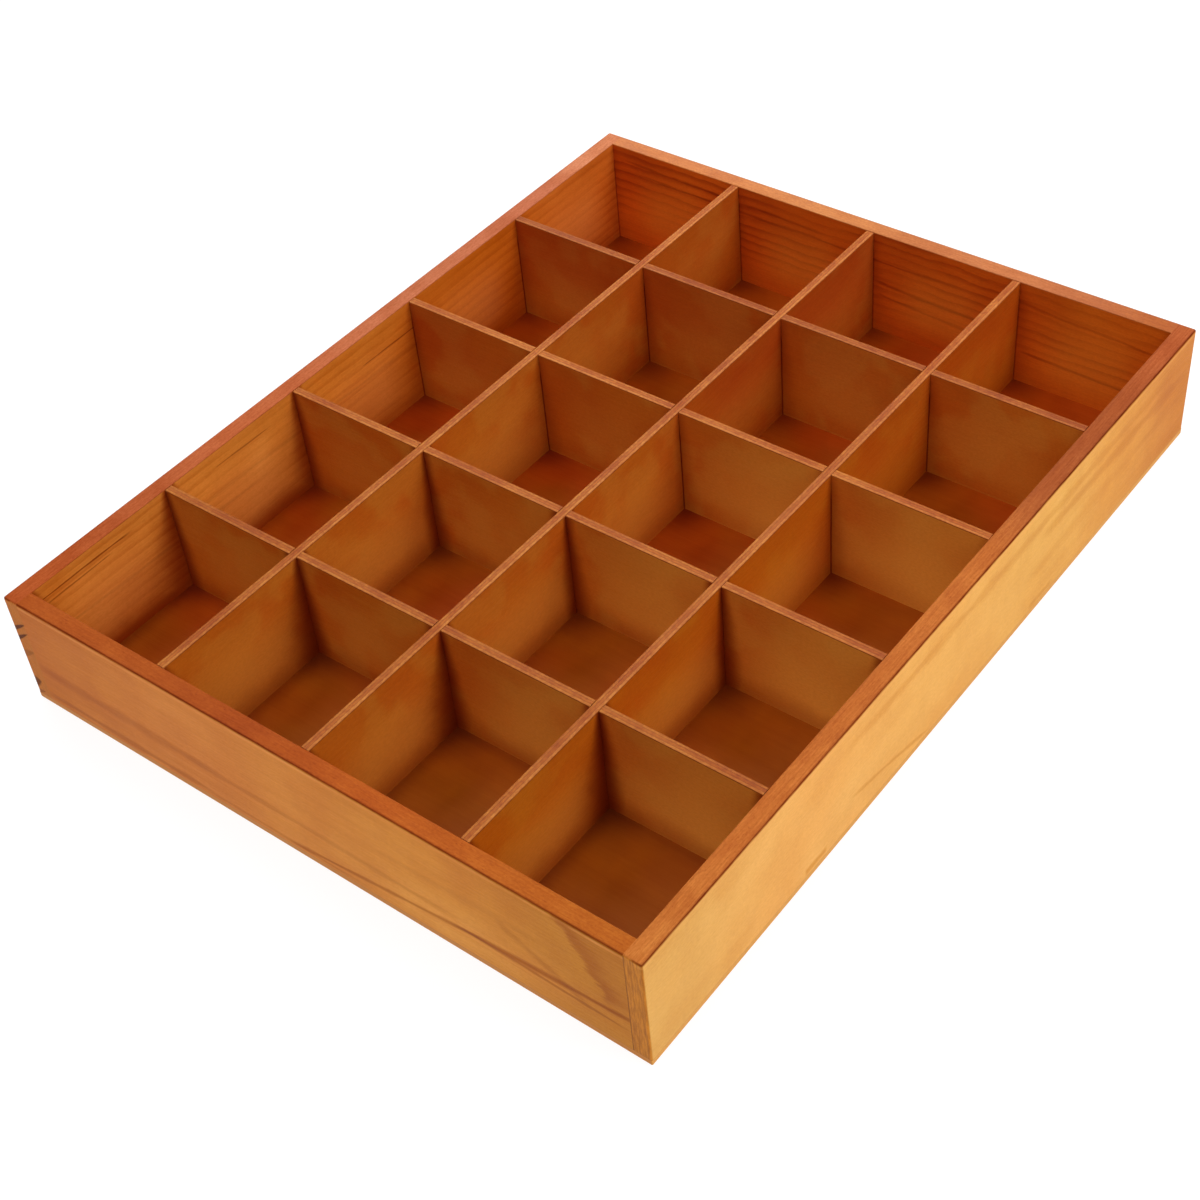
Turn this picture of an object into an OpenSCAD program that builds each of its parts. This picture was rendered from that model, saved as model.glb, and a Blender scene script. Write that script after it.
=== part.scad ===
// Compartment tray: a butt-jointed softwood frame on a thin bottom panel, with a lattice of half-lapped
// plywood dividers. The origin is on the underside, in the middle. +X is to the right, +Y to the back.

/* [Tray] */
// Length of the tray from front to back
tray_l = 400; // [260:1:620]
// Width of the tray from side to side
tray_w = 317; // [200:1:520]
// Height of the tray from the underside of the bottom panel to the rim
tray_h = 57.5; // [40:0.5:120]

/* [Frame] */
// Thickness of the four frame boards
board_t = 8; // [6:0.5:14]
// Radius of the eased arrises outside the frame
outer_ease = 0.9; // [0.3:0.1:2]
// Radius of the eased arris inside the rim
inner_ease = 0.4; // [0.2:0.1:1.5]

/* [Bottom panel] */
// Thickness of the bottom panel
panel_t = 3; // [2:0.1:6]
// Radius of the eased arris round the underside
panel_ease = 0.5; // [0.2:0.1:1]

/* [Dividers] */
// Number of compartments from side to side
columns = 4; // [2:1:8]
// Number of compartments from front to back
rows = 5; // [2:1:8]
// Thickness of the plywood dividers
divider_t = 4; // [3:0.1:6]
// How far the divider tops lie below the rim
divider_drop = 0.3; // [0:0.1:4]
// Radius of the eased arrises along the divider tops
divider_ease = 0.4; // [0.2:0.1:1]

/* [Half laps] */
// Clearance on each side of a divider in the slot of the other
slot_fit = 0.15; // [0.05:0.05:0.5]
// Clearance between the two slot ends of a half lap
lap_gap = 0.5; // [0.2:0.1:2]
// Clearance between the end of a divider and the frame
end_fit = 0.25; // [0.1:0.05:0.8]

/* [Corner pins] */
// Number of pins in each corner
corner_pins_each = 3; // [2:1:5]
// Diameter of a corner pin
corner_pin_d = 1.2; // [0.8:0.1:2]
// Length of a corner pin
corner_pin_l = 22; // [16:0.5:26]
// Depth of the stopping over the sunk end of a corner pin
pin_cover = 1; // [0.5:0.1:2]
// Distance of the outermost corner pins from the edges of the board
corner_pin_margin = 10; // [6:0.5:14]

/* [Panel pins] */
// Number of pins along each long board
long_side_pins = 6; // [3:1:10]
// Number of pins along each short board
short_side_pins = 4; // [2:1:8]
// Shank diameter of a panel pin
panel_pin_d = 1.4; // [1:0.1:2]
// Head diameter of a panel pin
panel_pin_head_d = 3; // [2.4:0.1:4]
// Head thickness of a panel pin
panel_pin_head_t = 0.7; // [0.5:0.1:1.2]
// Length of a panel pin with its head
panel_pin_l = 20; // [12:0.5:28]
// Distance of the outermost panel pins from the ends of the board
panel_pin_inset = 26; // [24:1:60]
// Clearance round every pin in its hole
pin_fit = 0.05; // [0.02:0.01:0.1]

/* [Hidden] */
// Overrun of every cut past the face that it leaves by
overrun = 1;
$fn = 32;
// Sides that the pins and their holes are drawn with
pin_sides = 16;

frame_h = tray_h - panel_t;
inner_l = tray_l - 2 * board_t;
inner_w = tray_w - 2 * board_t;
long_dividers = columns - 1;
cross_dividers = rows - 1;
cell_w = (inner_w - long_dividers * divider_t) / columns;
cell_l = (inner_l - cross_dividers * divider_t) / rows;
divider_h = frame_h - divider_drop;
lap_z = divider_h / 2;
slot_w = divider_t + 2 * slot_fit;
slot_through = divider_t + 2 * overrun;
board_mid_x = tray_w / 2 - board_t / 2;
board_mid_y = tray_l / 2 - board_t / 2;

long_divider_names = [for (i = [1:long_dividers]) str("long_divider_", i)];
cross_divider_names = [for (i = [1:cross_dividers]) str("cross_divider_", i)];

pine = "#c8702f";
pale_pine = "#d98a42";
plywood = "#b5602c";
panel_wood = "#7d3a14";
steel = "#9a9a98";

// Centre of the long divider i, counted from the left
function long_divider_x(i) = -inner_w / 2 + i * cell_w + (i - 0.5) * divider_t;

// Centre of the cross divider i, counted from the front
function cross_divider_y(i) = -inner_l / 2 + i * cell_l + (i - 0.5) * divider_t;

// Place i of count places spread evenly over a span, counted from 0
function spread(i, count, span) = -span / 2 + i * span / (count - 1);

// Heights of the corner pins above the ground
corner_pin_span = frame_h - 2 * corner_pin_margin;
corner_pin_zs = [
    for (i = [0:corner_pins_each - 1]) panel_t + frame_h / 2 + spread(i, corner_pins_each, corner_pin_span)
];

// Places of the panel pins along the long and the short boards
long_side_ys = [
    for (i = [0:long_side_pins - 1]) spread(i, long_side_pins, tray_l - 2 * panel_pin_inset)
];
short_side_xs = [
    for (i = [0:short_side_pins - 1]) spread(i, short_side_pins, inner_w - 2 * panel_pin_inset)
];

// Waste that rounds a straight arris. It runs up from the origin and the wood lies towards +X and +Y.
module arris_waste(length, radius) {
    linear_extrude(length)
        difference() {
            translate([-overrun, -overrun])
                square(radius + overrun);
            translate([radius, radius])
                circle(radius);
        }
}

// The same waste laid along +Y, with the wood towards +X and down
module rim_waste(length, radius) {
    translate([0, -length / 2, 0])
        rotate([-90, 0, 0])
            arris_waste(length, radius);
}

// Rounds the four upright corners of the tray over a height
module corner_rounding(height) {
    for (sx = [0, 1], sy = [0, 1])
        mirror([sx, 0, 0])
            mirror([0, sy, 0])
                translate([-tray_w / 2, -tray_l / 2, -overrun])
                    arris_waste(height + 2 * overrun, outer_ease);
}

// Puts a child on the ground at the outer face of each long side, which then lies along Y at the left
module at_long_sides() {
    for (turn = [0, 180])
        rotate([0, 0, turn])
            translate([-tray_w / 2, 0, 0])
                children();
}

// The same for the short sides
module at_short_sides() {
    for (turn = [90, 270])
        rotate([0, 0, turn])
            translate([-tray_l / 2, 0, 0])
                children();
}

// Rounds the outer arris of one side of the rim, and its inner arris between the corners
module side_rounding(outer_length, inner_length) {
    translate([0, 0, tray_h])
        rim_waste(outer_length + 2 * overrun, outer_ease);
    translate([board_t, 0, tray_h])
        mirror([1, 0, 0])
            rim_waste(inner_length, inner_ease);
}

// Rounds all arrises of the rim
module rim_rounding() {
    at_long_sides()
        side_rounding(tray_l, inner_l);
    at_short_sides()
        side_rounding(tray_w, inner_w);
}

// One corner pin, lying along X with its sunk end towards +X, in the corner at the right and back
module corner_pin(z, fit) {
    translate([tray_w / 2 - pin_cover + fit, board_mid_y, z])
        rotate([0, -90, 0])
            cylinder(h = corner_pin_l + 2 * fit, d = corner_pin_d + 2 * fit, $fn = pin_sides);
}

// All corner pins, or with a fit the holes that they sit in
module all_corner_pins(fit = 0) {
    for (sx = [0, 1], sy = [0, 1], z = corner_pin_zs)
        mirror([sx, 0, 0])
            mirror([0, sy, 0])
                corner_pin(z, fit);
}

// One panel pin standing on the ground, with its head flush in the underside of the panel
module panel_pin() {
    cylinder(h = panel_pin_l, d = panel_pin_d, $fn = pin_sides);
    cylinder(h = panel_pin_head_t, d = panel_pin_head_d, $fn = pin_sides);
}

// The hole for it, with the recess that the head bears in
module panel_pin_hole() {
    cylinder(h = panel_pin_l + pin_fit, d = panel_pin_d + 2 * pin_fit, $fn = pin_sides);
    translate([0, 0, -overrun])
        cylinder(h = panel_pin_head_t + overrun, d = panel_pin_head_d + 2 * pin_fit, $fn = pin_sides);
}

// Puts a child at the place of every panel pin
module at_panel_pins() {
    for (side = [-1, 1]) {
        for (y = long_side_ys)
            translate([side * board_mid_x, y, 0])
                children();
        for (x = short_side_xs)
            translate([x, side * board_mid_y, 0])
                children();
    }
}

// A frame board as sawn, with its eased arrises and its pin holes
module frame_board(size, centre) {
    difference() {
        translate([centre.x - size.x / 2, centre.y - size.y / 2, panel_t])
            cube([size.x, size.y, frame_h]);
        corner_rounding(tray_h);
        rim_rounding();
        all_corner_pins(pin_fit);
        at_panel_pins()
            panel_pin_hole();
    }
}

module short_board(side) {
    color(pine)
        frame_board([inner_w, board_t], [0, side * board_mid_y]);
}

module long_board(side) {
    color(pale_pine)
        frame_board([board_t, tray_l], [side * board_mid_x, 0]);
}

module front_board() {
    short_board(-1);
}

module back_board() {
    short_board(1);
}

module left_board() {
    long_board(-1);
}

module right_board() {
    long_board(1);
}

// Rounds the arris round the underside of the panel
module underside_rounding() {
    mirror([0, 0, 1]) {
        at_long_sides()
            rim_waste(tray_l + 2 * overrun, panel_ease);
        at_short_sides()
            rim_waste(tray_w + 2 * overrun, panel_ease);
    }
}

module bottom_panel() {
    color(panel_wood)
        difference() {
            translate([-tray_w / 2, -tray_l / 2, 0])
                cube([tray_w, tray_l, panel_t]);
            corner_rounding(panel_t);
            underside_rounding();
            at_panel_pins()
                panel_pin_hole();
        }
}

// A divider strip of plywood standing on the panel along Y, centred on x = 0, with eased top arrises
module divider_strip(length) {
    difference() {
        translate([-divider_t / 2, -length / 2, panel_t])
            cube([divider_t, length, divider_h]);
        for (side = [0, 1])
            mirror([side, 0, 0])
                translate([-divider_t / 2, 0, panel_t + divider_h])
                    rim_waste(length + 2 * overrun, divider_ease);
    }
}

// Slot for a crossing strip, open downwards, from below the panel's face up to its end
module lower_slot(size) {
    translate([-size.x / 2, -size.y / 2, panel_t - overrun])
        cube([size.x, size.y, lap_z + lap_gap / 2 + overrun]);
}

// Slot for a crossing strip, open upwards
module upper_slot(size) {
    translate([-size.x / 2, -size.y / 2, panel_t + lap_z - lap_gap / 2])
        cube([size.x, size.y, lap_z + lap_gap / 2 + overrun]);
}

// A strip from front to back, slotted from below over every cross divider
module long_divider(i) {
    color(plywood)
        translate([long_divider_x(i), 0, 0])
            difference() {
                divider_strip(inner_l - 2 * end_fit);
                for (k = [1:cross_dividers])
                    translate([0, cross_divider_y(k), 0])
                        lower_slot([slot_through, slot_w]);
            }
}

// A strip from side to side, slotted from above under every long divider
module cross_divider(i) {
    color(plywood)
        translate([0, cross_divider_y(i), 0])
            difference() {
                rotate([0, 0, 90])
                    divider_strip(inner_w - 2 * end_fit);
                for (k = [1:long_dividers])
                    translate([long_divider_x(k), 0, 0])
                        upper_slot([slot_w, slot_through]);
            }
}

module corner_pins() {
    color(steel)
        all_corner_pins();
}

module panel_pins() {
    color(steel)
        at_panel_pins()
            panel_pin();
}

front_board();
back_board();
left_board();
right_board();
bottom_panel();
for (i = [1:long_dividers])
    long_divider(i);
for (i = [1:cross_dividers])
    cross_divider(i);
corner_pins();
panel_pins();
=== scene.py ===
# A stained pine tray with a lattice of plywood dividers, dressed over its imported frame.
import math

import bmesh
import bpy
from mathutils import Matrix, Vector


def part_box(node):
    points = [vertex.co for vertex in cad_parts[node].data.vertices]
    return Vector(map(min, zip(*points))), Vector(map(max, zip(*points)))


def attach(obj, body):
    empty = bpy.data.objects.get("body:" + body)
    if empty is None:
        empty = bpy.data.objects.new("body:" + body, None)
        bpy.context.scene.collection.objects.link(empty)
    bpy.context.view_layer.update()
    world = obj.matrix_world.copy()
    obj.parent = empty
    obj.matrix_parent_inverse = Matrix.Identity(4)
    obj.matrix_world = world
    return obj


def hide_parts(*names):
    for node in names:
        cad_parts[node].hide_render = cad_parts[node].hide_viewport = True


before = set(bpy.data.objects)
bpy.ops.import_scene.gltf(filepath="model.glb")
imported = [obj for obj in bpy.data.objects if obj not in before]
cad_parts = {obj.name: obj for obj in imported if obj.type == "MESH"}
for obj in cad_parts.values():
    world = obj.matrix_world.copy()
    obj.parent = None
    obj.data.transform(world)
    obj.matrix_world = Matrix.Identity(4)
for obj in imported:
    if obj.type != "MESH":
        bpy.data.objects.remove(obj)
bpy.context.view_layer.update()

MM = 0.001


def corners(node):
    """The low and the high corner of a frame node."""
    return [Vector(corner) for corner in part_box(node)]


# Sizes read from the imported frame, in metres
panel_low, panel_high = corners("bottom_panel")
left_low, left_high = corners("left_board")
half_w = panel_high.x
half_l = panel_high.y
panel_top = panel_high.z
rim_z = left_high.z
board_t = left_high.x - left_low.x
inner_half_w = half_w - board_t
inner_half_l = half_l - board_t
long_dividers = ["long_divider_%d" % i for i in (1, 2, 3)]
cross_dividers = ["cross_divider_%d" % i for i in (1, 2, 3, 4)]
divider_low, divider_high = corners(long_dividers[0])
divider_t = divider_high.x - divider_low.x
cell_pitch_x = (2 * inner_half_w + divider_t) / (len(long_dividers) + 1)
cell_pitch_y = (2 * inner_half_l + divider_t) / (len(cross_dividers) + 1)

# Finish of the edges
outer_ease = 0.9 * MM
inner_ease = 0.4 * MM
divider_ease = 0.4 * MM
panel_ease = 0.5 * MM
slot_fit = 0.15 * MM
lap_gap = 0.5 * MM

# Panel pins
long_side_pins = 6
short_side_pins = 4
pin_inset = 26 * MM
pin_recess_r = 1.55 * MM
pin_recess_depth = 0.75 * MM
pin_recess_sides = 24


# Modelling helpers

def select_only(*pieces):
    """Selects just these pieces and makes the first one active."""
    bpy.ops.object.select_all(action="DESELECT")
    for piece in pieces:
        piece.select_set(True)
    bpy.context.view_layer.objects.active = pieces[0]


def add_block(name, low, high):
    """A plain block between two corners, to be shaped further."""
    bpy.ops.object.select_all(action="DESELECT")
    bpy.ops.mesh.primitive_cube_add(size=1, location=(low + high) / 2, scale=high - low)
    piece = bpy.context.active_object
    piece.name = name
    piece.data.name = name
    bpy.ops.object.transform_apply(location=True, rotation=True, scale=True)
    return piece


def on_plane(edge, axis, place, slack=1e-5):
    return all(abs(v.co[axis] - place) < slack for v in edge.verts)


def runs_along(edge, axis):
    a, b = (v.co for v in edge.verts)
    return abs((b - a)[axis]) > 0.99 * (b - a).length


def ease_edges(piece, wanted, width, segments):
    """Rounds just the edges of the piece for which wanted is true."""
    select_only(piece)
    bpy.ops.object.mode_set(mode="EDIT")
    bpy.ops.mesh.select_mode(type="EDGE")
    bpy.ops.mesh.select_all(action="DESELECT")
    mesh = bmesh.from_edit_mesh(piece.data)
    for edge in mesh.edges:
        edge.select_set(wanted(edge))
    bmesh.update_edit_mesh(piece.data)
    bpy.ops.mesh.bevel(offset=width, segments=segments, profile=0.5)
    bpy.ops.object.mode_set(mode="OBJECT")


def copy_piece(piece, half_turn=False, shift=(0, 0, 0)):
    """A copy with its own mesh, turned half round the tray's middle or moved along."""
    copy = piece.copy()
    copy.data = piece.data.copy()
    bpy.context.scene.collection.objects.link(copy)
    copy.rotation_euler.z = math.pi if half_turn else 0
    copy.location = shift
    select_only(copy)
    bpy.ops.object.transform_apply(location=True, rotation=True, scale=True)
    return copy


def fit_piece(piece, node, material):
    """Gives the finished piece the place of a frame node and its finish."""
    piece.name = node + "_stained"
    piece.data.name = piece.name
    piece.data.materials.append(material)
    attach(piece, "root")
    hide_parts(node)


def smooth_shading(piece, angle=40):
    """Soft normals on the eased arrises, while the flats stay flat."""
    select_only(piece)
    bpy.ops.object.shade_smooth_by_angle(angle=math.radians(angle))
    bpy.ops.object.modifier_add(type="WEIGHTED_NORMAL")
    piece.modifiers[-1].keep_sharp = True
    bpy.ops.object.modifier_apply(modifier=piece.modifiers[-1].name)


def combine(piece, other, operation):
    """Cuts the other shape out of the piece or fuses them, and takes the other away."""
    select_only(piece)
    bpy.ops.object.modifier_add(type="BOOLEAN")
    step = piece.modifiers[-1]
    step.operation = operation
    step.solver = "EXACT"
    step.object = other
    bpy.ops.object.modifier_apply(modifier=step.name)
    bpy.data.objects.remove(other, do_unlink=True)


# Frame boards

def frame_board(node, along, ends_show):
    """The left or front board with eased arrises, outside and along the compartments."""
    low, high = corners(node)
    across = 1 - along
    outer = low[across]
    inner = high[across]
    inner_span = inner_half_l if along == 1 else inner_half_w
    middle_low, middle_high = low.copy(), high.copy()
    middle_low[along] = -inner_span
    middle_high[along] = inner_span
    piece = add_block(node, middle_low, middle_high)

    def inner_arris(e):
        return runs_along(e, along) and on_plane(e, across, inner) and on_plane(e, 2, high.z)

    ease_edges(piece, inner_arris, inner_ease, 3)
    if ends_show:
        # The short boards butt against the ends, so the inner arris is square there
        front_high, back_low = high.copy(), low.copy()
        front_high[along] = -inner_span
        back_low[along] = inner_span
        combine(piece, add_block("front_end", low, front_high), "UNION")
        combine(piece, add_block("back_end", back_low, high), "UNION")

    def outer_arris(e):
        top_edge = runs_along(e, along) and on_plane(e, across, outer) and on_plane(e, 2, high.z)
        if not ends_show:
            return top_edge
        at_end = on_plane(e, along, low[along]) or on_plane(e, along, high[along])
        end_edge = at_end and (on_plane(e, 2, high.z) or on_plane(e, across, outer))
        return top_edge or end_edge

    ease_edges(piece, outer_arris, outer_ease, 4)
    smooth_shading(piece)
    return piece


# Bottom panel

def panel_pin_places():
    """Where the flat heads of the panel pins lie in the underside."""
    side_x = half_w - board_t / 2
    end_y = half_l - board_t / 2
    long_reach = half_l - pin_inset
    short_reach = inner_half_w - pin_inset
    places = []
    for i in range(long_side_pins):
        y = (2 * i / (long_side_pins - 1) - 1) * long_reach
        places += [(-side_x, y), (side_x, y)]
    for i in range(short_side_pins):
        x = (2 * i / (short_side_pins - 1) - 1) * short_reach
        places += [(x, -end_y), (x, end_y)]
    return places


def pin_recesses():
    """One round cutter for a pin head, copied to every place and joined."""
    bpy.ops.object.select_all(action="DESELECT")
    (first_x, first_y), *others = panel_pin_places()
    bpy.ops.mesh.primitive_cylinder_add(vertices=pin_recess_sides, radius=pin_recess_r,
                                        depth=2 * pin_recess_depth, location=(first_x, first_y, 0))
    first = bpy.context.active_object
    bpy.ops.object.transform_apply(location=True, rotation=True, scale=True)
    copies = [copy_piece(first, shift=(x - first_x, y - first_y, 0)) for x, y in others]
    select_only(first, *copies)
    bpy.ops.object.join()
    return first


def bottom_panel():
    piece = add_block("bottom_panel", panel_low, panel_high)
    ease_edges(piece, lambda e: on_plane(e, 2, panel_low.z) or runs_along(e, 2), panel_ease, 3)
    combine(piece, pin_recesses(), "DIFFERENCE")
    smooth_shading(piece)
    return piece


# Dividers

def divider(node, along, crossed_by, slots_open_up):
    """A plywood strip with eased top arrises and a slot at every strip that crosses it."""
    low, high = corners(node)
    across = 1 - along
    piece = add_block(node, low, high)
    ease_edges(piece, lambda e: runs_along(e, along) and on_plane(e, 2, high.z), divider_ease, 2)
    lap_z = (low.z + high.z) / 2
    past = 1 * MM  # How far the slot cutters stand out of the strip
    for other in crossed_by:
        other_low, other_high = corners(other)
        slot_low, slot_high = low.copy(), high.copy()
        slot_low[along] = other_low[along] - slot_fit
        slot_high[along] = other_high[along] + slot_fit
        slot_low[across] -= past
        slot_high[across] += past
        if slots_open_up:
            slot_low.z = lap_z - lap_gap / 2
            slot_high.z += past
        else:
            slot_high.z = lap_z + lap_gap / 2
            slot_low.z -= past
        combine(piece, add_block("slot_cutter", slot_low, slot_high), "DIFFERENCE")
    smooth_shading(piece)
    return piece


def divider_row(nodes, first, material):
    """The first strip and its copies, each moved to the place of its own node."""
    start = corners(nodes[0])[0]
    copies = [copy_piece(first, shift=corners(node)[0] - start) for node in nodes[1:]]
    for piece, node in zip([first] + copies, nodes):
        fit_piece(piece, node, material)


# Node recipes

class Recipe:
    """Lays out the nodes of one finish or one shared effect."""

    def __init__(self, tree):
        self.tree = tree

    def node(self, kind, **settings):
        made = self.tree.nodes.new(kind)
        for setting, value in settings.items():
            setattr(made, setting, value)
        return made

    def feed(self, socket, value):
        if isinstance(value, bpy.types.NodeSocket):
            self.tree.links.new(value, socket)
        elif socket.type == "RGBA":
            socket.default_value = (*value, 1)
        else:
            socket.default_value = value

    def maths(self, operation, *values):
        made = self.node("ShaderNodeMath", operation=operation)
        for socket, value in zip(made.inputs, values):
            self.feed(socket, value)
        return made.outputs[0]

    def add(self, value, *others):
        for other in others:
            value = self.maths("ADD", value, other)
        return value

    def less(self, a, b):
        return self.maths("SUBTRACT", a, b)

    def times(self, value, *others):
        for other in others:
            value = self.maths("MULTIPLY", value, other)
        return value

    def rest(self, mask):
        """All that the mask leaves out."""
        return self.less(1.0, mask)

    def over(self, a, b):
        return self.maths("DIVIDE", a, b)

    def larger(self, a, b):
        return self.maths("MAXIMUM", a, b)

    def absolute(self, value):
        return self.maths("ABSOLUTE", value)

    def rise(self, value, low, high, to_low=0.0, to_high=1.0):
        """A soft step of value between low and high."""
        made = self.node("ShaderNodeMapRange", interpolation_type="SMOOTHSTEP")
        for socket, given in zip(made.inputs, (value, low, high, to_low, to_high)):
            self.feed(socket, given)
        return made.outputs[0]

    def fall(self, value, low, high):
        return self.rise(value, low, high, 1.0, 0.0)

    def object_place(self):
        return self.node("ShaderNodeTexCoord").outputs["Object"]

    def parts(self, vector):
        made = self.node("ShaderNodeSeparateXYZ")
        self.feed(made.inputs[0], vector)
        return made.outputs[0], made.outputs[1], made.outputs[2]

    def join(self, x, y, z):
        made = self.node("ShaderNodeCombineXYZ")
        for socket, value in zip(made.inputs, (x, y, z)):
            self.feed(socket, value)
        return made.outputs[0]

    def stretch(self, vector, factors, shift=0.0):
        """The vector with its parts multiplied, then moved on by shift in each part."""
        scaled = self.node("ShaderNodeVectorMath", operation="MULTIPLY")
        self.feed(scaled.inputs[0], vector)
        self.feed(scaled.inputs[1], factors)
        moved = self.node("ShaderNodeVectorMath", operation="ADD")
        self.feed(moved.inputs[0], scaled.outputs[0])
        self.feed(moved.inputs[1], self.join(shift, shift, shift))
        return moved.outputs[0]

    def noise(self, vector, detail=2.0, roughness=0.5):
        made = self.node("ShaderNodeTexNoise")
        self.feed(made.inputs["Vector"], vector)
        self.feed(made.inputs["Scale"], 1.0)
        self.feed(made.inputs["Detail"], detail)
        self.feed(made.inputs["Roughness"], roughness)
        return made.outputs[0]

    def mix(self, factor, a, b, mode="MIX"):
        made = self.node("ShaderNodeMix", data_type="RGBA", blend_type=mode)
        self.feed(made.inputs[0], factor)
        self.feed(made.inputs[6], a)
        self.feed(made.inputs[7], b)
        return made.outputs[2]

    def shade(self, colour, mask, tone, strength=1.0):
        """The colour multiplied by tone where the mask is, as strongly as strength says."""
        if strength != 1.0:
            mask = self.times(mask, strength)
        return self.mix(mask, colour, tone, "MULTIPLY")

    def drift(self, value, stops):
        """A colour that changes softly from stop to stop; a stop is a place in mm and a colour."""
        colour = stops[0][1]
        for (begin, _), (end, next_colour) in zip(stops, stops[1:]):
            colour = self.mix(self.rise(value, begin * MM, end * MM), colour, next_colour)
        return colour

    def use(self, group, **values):
        made = self.node("ShaderNodeGroup", node_tree=group)
        for name, value in values.items():
            self.feed(made.inputs[name.replace("_", " ")], value)
        return made.outputs[0]


def effect(name, *titles):
    """A shared effect with one value out: its recipe, its input sockets and its way out."""
    group = bpy.data.node_groups.new(name, "ShaderNodeTree")
    for title in titles:
        kind = "NodeSocketVector" if title == "Place" else "NodeSocketFloat"
        group.interface.new_socket(name=title, in_out="INPUT", socket_type=kind)
    group.interface.new_socket(name="Amount", in_out="OUTPUT", socket_type="NodeSocketFloat")
    recipe = Recipe(group)
    given = recipe.node("NodeGroupInput")
    result = recipe.node("NodeGroupOutput")
    sockets = [given.outputs[title] for title in titles]
    return group, recipe, sockets, result.inputs[0]


def make_growth_rings():
    """Late wood lines round a pith that lies off the board."""
    group, r, sockets, out = effect(
        "growth rings", "Place", "Pith depth", "Pith height", "Ring width", "Wander", "Late part",
        "Seed")
    place, pith_depth, pith_height, ring_width, wander, late_part, seed = sockets
    _, depth, height = r.parts(place)
    drift = r.noise(r.stretch(place, (7, 22, 22), seed))
    ripple = r.noise(r.stretch(place, (70, 60, 60), seed))
    wobble = r.add(r.less(drift, 0.5), r.times(r.less(ripple, 0.5), 0.3))
    across = r.less(depth, pith_depth)
    up = r.less(height, pith_height)
    squared = r.add(r.times(across, across), r.times(up, up))
    radius = r.add(r.maths("SQRT", squared), r.times(wobble, wander))
    turn = r.maths("FRACT", r.over(radius, ring_width))
    dark = r.times(r.rise(turn, r.less(0.88, late_part), 0.88), r.fall(turn, 0.9, 1.0))
    r.feed(out, dark)
    return group


def make_grain(name, detail, roughness, low, high):
    """Fine marks that are longer along the grain."""
    group, r, sockets, out = effect(name, "Place", "Length", "Width", "Seed")
    place, length, width, seed = sockets
    along_scale = r.over(1.0, length)
    cross_scale = r.over(1.0, width)
    stretched = r.stretch(place, r.join(along_scale, cross_scale, cross_scale), seed)
    r.feed(out, r.rise(r.noise(stretched, detail, roughness), low, high))
    return group


def make_blotches():
    """Cloudy patches where the stain has taken unevenly."""
    group, r, sockets, out = effect("stain blotches", "Place", "Size", "Seed")
    place, size, seed = sockets
    scale = r.over(1.0, size)
    cloud = r.noise(r.stretch(place, r.join(scale, scale, scale), seed), 2.5, 0.55)
    r.feed(out, r.rise(cloud, 0.36, 0.64))
    return group


def make_streak():
    """One dark line of late wood along a face, from one place to another."""
    group, r, sockets, out = effect(
        "grain streak", "Along", "Height", "From", "To", "Start height", "End height", "Half width",
        "Wander", "Seed")
    along, height, begin, end, low, high, half_width, wander, seed = sockets
    part = r.over(r.less(along, begin), r.less(end, begin))
    ripple = r.noise(r.join(r.times(along, 32.0), seed, 0.0))
    middle = r.add(low, r.times(r.less(high, low), part), r.times(r.less(ripple, 0.5), wander))
    swell = r.noise(r.join(r.times(along, 55.0), 7.0, seed), 1.0)
    reach = r.times(half_width, r.rise(swell, 0.3, 0.7, 0.6, 1.4))
    off = r.over(r.absolute(r.less(height, middle)), reach)
    r.feed(out, r.times(r.fall(off, 0.1, 1.0), r.rise(part, 0.0, 0.12), r.fall(part, 0.85, 1.0)))
    return group


def make_pooled_stain_and_shade():
    """Stain pooled in the upright corners and along the floor of a compartment, with painted shade in
    the same places: the corners, the foot and a dark line at each joint are darkened where shade
    falls.
    """
    group, r, sockets, out = effect(
        "pooled stain and painted shade", "Along", "Height", "Pitch", "Wall", "Rim height", "Floor height",
        "Top width", "Spread", "Foot", "Fade")
    along, height, pitch, wall, rim_height, floor_height, top_width, spread, foot, fade = sockets
    from_wall = r.maths("PINGPONG", r.less(along, wall), r.times(pitch, 0.5))
    from_wall = r.less(from_wall, divider_t / 2)
    depth = r.larger(r.less(rim_height, height), 0.0)
    ripple = r.noise(r.join(r.times(along, 60.0), r.times(height, 60.0), 3.0))
    reach = r.add(r.times(depth, spread), top_width)
    reach = r.times(reach, r.add(0.6, r.times(ripple, 0.8)))
    corner = r.fall(r.over(from_wall, reach), 0.0, 1.0)
    up = r.less(height, floor_height)
    low_down = r.fall(r.over(up, r.add(0.4, r.times(ripple, 1.2))), 0.0, 14.0 * MM)
    soft = r.times(r.larger(corner, r.times(low_down, foot)), fade)
    # A crisp dark line at each joint: a dark joint with a painted shadow in the gap
    joint = r.times(r.fall(from_wall, 0.2 * MM, 0.8 * MM), r.rise(depth, 4.0 * MM, 14.0 * MM))
    r.feed(out, r.larger(soft, joint))
    return group


def make_thin_stain():
    """The middle of a compartment wall, low down, where less stain has stayed."""
    group, r, sockets, out = effect(
        "thin stain", "Along", "Height", "Pitch", "Wall", "Floor height")
    along, height, pitch, wall, floor_height = sockets
    from_wall = r.maths("PINGPONG", r.less(along, wall), r.times(pitch, 0.5))
    up = r.less(height, floor_height)
    body = r.times(r.rise(up, 1.0 * MM, 16.0 * MM), r.fall(up, 22.0 * MM, 52.0 * MM))
    r.feed(out, r.times(body, r.rise(from_wall, 8.0 * MM, 30.0 * MM)))
    return group


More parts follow.
